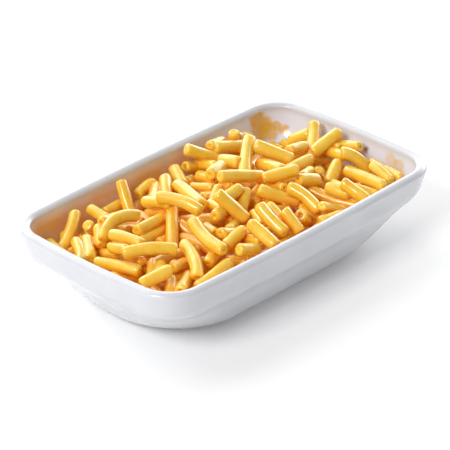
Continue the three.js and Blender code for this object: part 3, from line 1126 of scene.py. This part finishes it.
def noodle_mesh(noodles, rng):
    """All noodles as one list of points and one of faces. Those in SEEN are finer."""
    vertices, faces, offset = [], [], 0
    for noodle in noodles:
        if noodle.fine:
            body, sides = 9, 14
            first = cut_end(OPEN_BORE if noodle.open_bore else rng.uniform(0, FIRST_BORE) ** 2)
            last = cut_end(rng.uniform(0, LAST_BORE) ** 2)
        else:
            body, sides = 5, 9
            first = last = PLAIN_END
        rings = 2 * len(first) + body
        vertices.append(noodle_rings(noodle, first, last, body, sides, rng))
        faces += closed_faces(rings, sides, offset)
        offset += rings * sides
    return np.vstack(vertices), faces


def build_heap():
    """The noodles of SEEN, and then the others in the gaps between them."""
    rng = np.random.default_rng(HEAP_SEED)
    heap = Heap()
    lay_seen(SEEN, heap)
    keeps = keeps_view(heap)

    def drop_to_rest(noodle, heap):
        drop(noodle, heap)
        level = height_in_heap(noodle)
        return -level if level < HIGH_FILL and keeps(noodle) else None

    for side in (from_the_eye, from_above):
        gaps = Gaps(heap, side)
        fill_gaps(heap, gaps, rng, BED_COUNT, BED_OVER, rise_to_rest, BED_TRIES)
        fill_gaps(heap, gaps, rng, FILL_COUNT, FILL_OVER, drop_to_rest, FILL_TRIES)
    return heap


# ---- Sauce ----

SAUCE_CELL = 1.0
SAUCE_UNDER = 0.4  # how far the sauce's skin lies under the noodles' own
SLIM_END = ((0.2, 0.6), (0.5, 1.0))
SLIM_BODY = 7
SLIM_SIDES = 8
SMOOTHING = 0.7
SMOOTH_TURNS = 7

CORE_BOTTOM = 5.6
CORE_SIDE_TOP = 18.0  # where its side, which follows the wall, ends
CORE_EDGE = 23.0  # level of its top's edge
CORE_EDGE_REACH = 22.0  # level at which the wall is as far out as that edge
CORE_UNDER = 1.8  # how far the rest of its top lies under the core's level
CORE_MIDDLE = 0.03  # its top's innermost ring, of the edge's reach


def core_mesh(around=96, side_rings=9, top_rings=22):
    """The plain mass under the noodles: flat below, and nearly up to the core's level on top."""
    angles = np.arange(around) * math.tau / around
    way = np.stack((np.cos(angles) * DISH_HALF_X / DISH_HALF_Y, np.sin(angles)), axis=-1)

    def reach_at(level, halvings=24):
        """How far out each way the wall is at a level."""
        near, far = np.zeros(around), np.full(around, DISH_HALF_Y + 10)
        for _ in range(halvings):
            middle = (near + far) / 2
            points = np.column_stack((way * middle[:, None], np.full(around, level)))
            inside = past_wall(points) < -WALL_GAP
            near, far = np.where(inside, middle, near), np.where(inside, far, middle)
        return near

    rows = []
    for level in np.linspace(CORE_BOTTOM, CORE_SIDE_TOP, side_rings):
        reach = reach_at(level)
        rows.append(np.column_stack((way * reach[:, None], np.full(around, level))))
    edge = reach_at(CORE_EDGE_REACH)
    for share in np.linspace(1.0, CORE_MIDDLE, top_rings):
        flat = way * (edge * share)[:, None]
        rise = core_level(flat[:, 0], flat[:, 1]) - CORE_UNDER
        at_edge = share ** 8
        rows.append(np.column_stack((flat, CORE_EDGE * at_edge + rise * (1 - at_edge))))
    return np.vstack(rows), closed_faces(len(rows), around)


def make_sauce(noodles, material):
    """Sauce that fills the dips between noodles: everything together, melted smooth."""
    vertices, faces = core_mesh()
    rng = np.random.default_rng(SAUCE_SEED)
    parts, offset = [vertices], len(vertices)
    rings = 2 * len(SLIM_END) + SLIM_BODY
    for noodle in noodles:
        slim = Noodle(noodle.start, noodle.end, noodle.bow, noodle.radius - SAUCE_UNDER)
        parts.append(noodle_rings(slim, SLIM_END, SLIM_END, SLIM_BODY, SLIM_SIDES, rng))
        faces += closed_faces(rings, SLIM_SIDES, offset)
        offset += rings * SLIM_SIDES
    piece = new_object("cheese_sauce", np.vstack(parts), faces, material)
    remesh = piece.modifiers.new("melt", "REMESH")
    remesh.mode = "VOXEL"
    remesh.voxel_size = SAUCE_CELL * MM
    smooth = piece.modifiers.new("smooth", "SMOOTH")
    smooth.factor = SMOOTHING
    smooth.iterations = SMOOTH_TURNS
    apply_modifiers(piece)
    return piece


# ---- Floor and light ----

FLOOR_HALF_SIZE = 4000.0
FLOOR_WHITE = (0.92, 0.92, 0.92, 1.0)
FLOOR_GLOW = 0.08
LIGHT_WHITE = (1.0, 1.0, 1.0, 1.0)
WORLD_LIGHT = 0.3

# Azimuth and elevation in degrees, distance, width and height in metres, and watts.
SOFTBOXES = {
    "window": (92, 45, 2.6, 2.6, 2.0, 37.0),
    "left_side": (184, 40, 2.6, 1.0, 1.0, 42.0),
    "right_side": (0, 17, 3.0, 3.0, 1.6, 30.0),
    "backdrop": (43, 15, 3.0, 6.0, 2.4, 90.0),
}


def make_floor():
    nodes = Nodes("white_floor")
    nodes.shade(Base_Color=FLOOR_WHITE, Roughness=0.9, Specular_IOR_Level=0.1)
    nodes.shade(Emission_Color=LIGHT_WHITE, Emission_Strength=FLOOR_GLOW)
    size = FLOOR_HALF_SIZE
    corners = [(-size, -size, 0), (size, -size, 0), (size, size, 0), (-size, size, 0)]
    return new_object("floor", corners, [(0, 1, 2, 3)], nodes.material, smooth=False)


def add_softbox(name, azimuth, elevation, distance, width, height, power):
    """A soft light that faces the dish. Azimuth 0 is along +X, 90 along +Y."""
    data = bpy.data.lights.new(name, "AREA")
    data.shape = "RECTANGLE"
    data.size, data.size_y = width, height
    data.energy = power
    light = bpy.data.objects.new(name, data)
    bpy.context.scene.collection.objects.link(light)
    turn, rise = math.radians(azimuth), math.radians(elevation)
    way = Vector((math.cos(turn) * math.cos(rise), math.sin(turn) * math.cos(rise), math.sin(rise)))
    light.location = way * distance
    light.rotation_euler = way.to_track_quat("Z", "Y").to_euler()


def set_the_light():
    world = bpy.data.worlds.new("studio")
    world.use_nodes = True
    background = world.node_tree.nodes["Background"]
    background.inputs["Color"].default_value = LIGHT_WHITE
    background.inputs["Strength"].default_value = WORLD_LIGHT
    bpy.context.scene.world = world
    for name, values in SOFTBOXES.items():
        add_softbox(name, *values)
    bpy.context.scene.view_settings.view_transform = "Standard"
    bpy.context.scene.view_settings.look = "None"


# ---- The whole ----

dish = make_dish(make_porcelain())
heap = build_heap()
noodle_points, noodle_faces = noodle_mesh(heap.noodles, np.random.default_rng(SKIN_SEED))
macaroni = new_object("macaroni_pieces", noodle_points, noodle_faces, make_noodle_material())
sauce = make_sauce(heap.noodles, make_sauce_material())
for food in (macaroni, sauce):
    mark_depth(food)
floor = make_floor()
set_the_light()

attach(dish, "root")
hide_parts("dish")
for food in (macaroni, sauce):
    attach(food, "root")
    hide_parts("macaroni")
